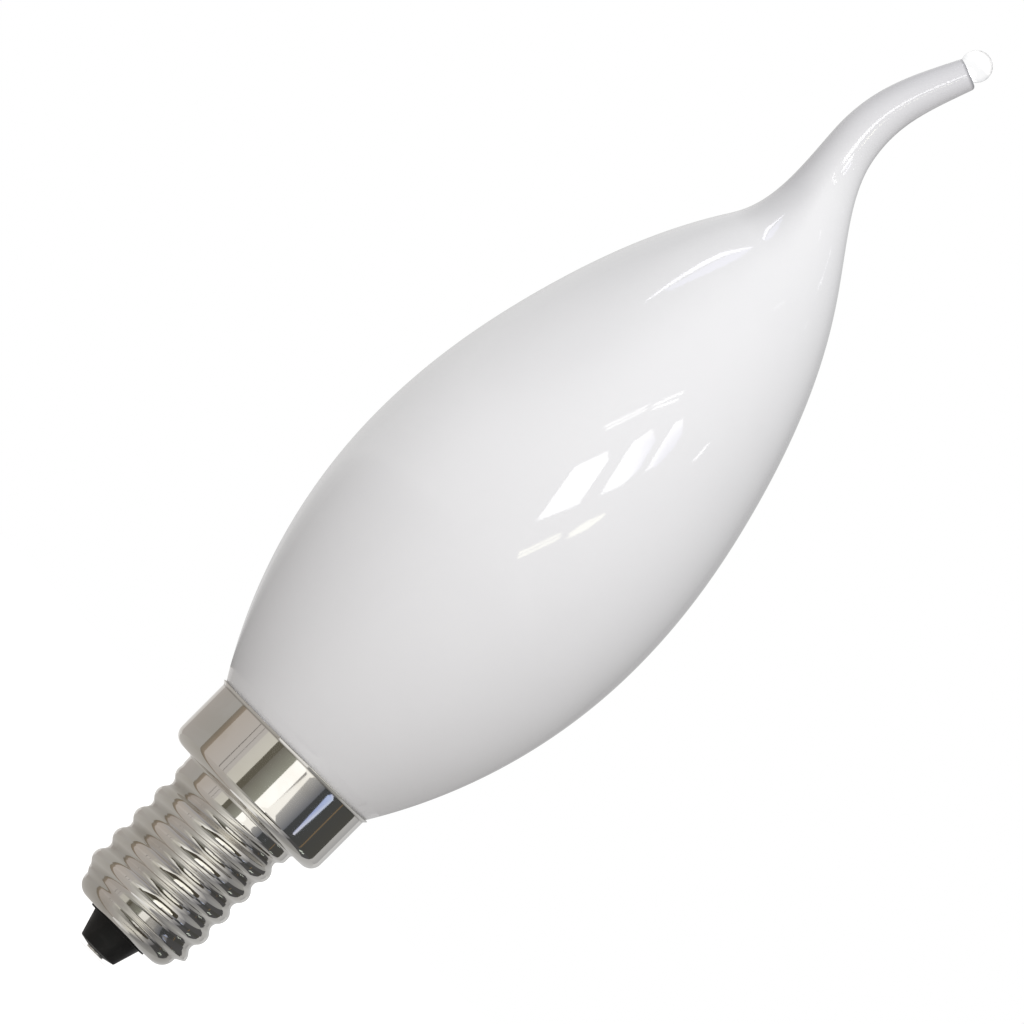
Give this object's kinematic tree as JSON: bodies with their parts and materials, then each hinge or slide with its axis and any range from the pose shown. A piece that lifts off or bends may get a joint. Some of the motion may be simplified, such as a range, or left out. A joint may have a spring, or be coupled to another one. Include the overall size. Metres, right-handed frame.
{
  "type": "candle bulb",
  "caption": "Opal glass candle bulb with a drawn, bent tail ending in a clear bead, on a nickel-plated small screw cap with a black insulator and a centre contact.",
  "frame": {"origin": "middle of the centre contact's flat end face, on the lamp's axis", "axes": "+Z along the lamp's axis from the contact to the glass tip; the bent tail sways in the X-Z plane, first towards -X and then back"},
  "size_m": [0.035, 0.035, 0.1215],
  "materials": {
    "tinned_contact": "satin",
    "black_insulator": "satin",
    "nickel_plate": "polished",
    "opal_glass": "polished"
  },
  "bodies": {
    "root": {"centre_contact": "tinned_contact", "insulator": "black_insulator", "screw_cap": "nickel_plate", "glass_envelope": "opal_glass"}
  },
  "joints": []
}
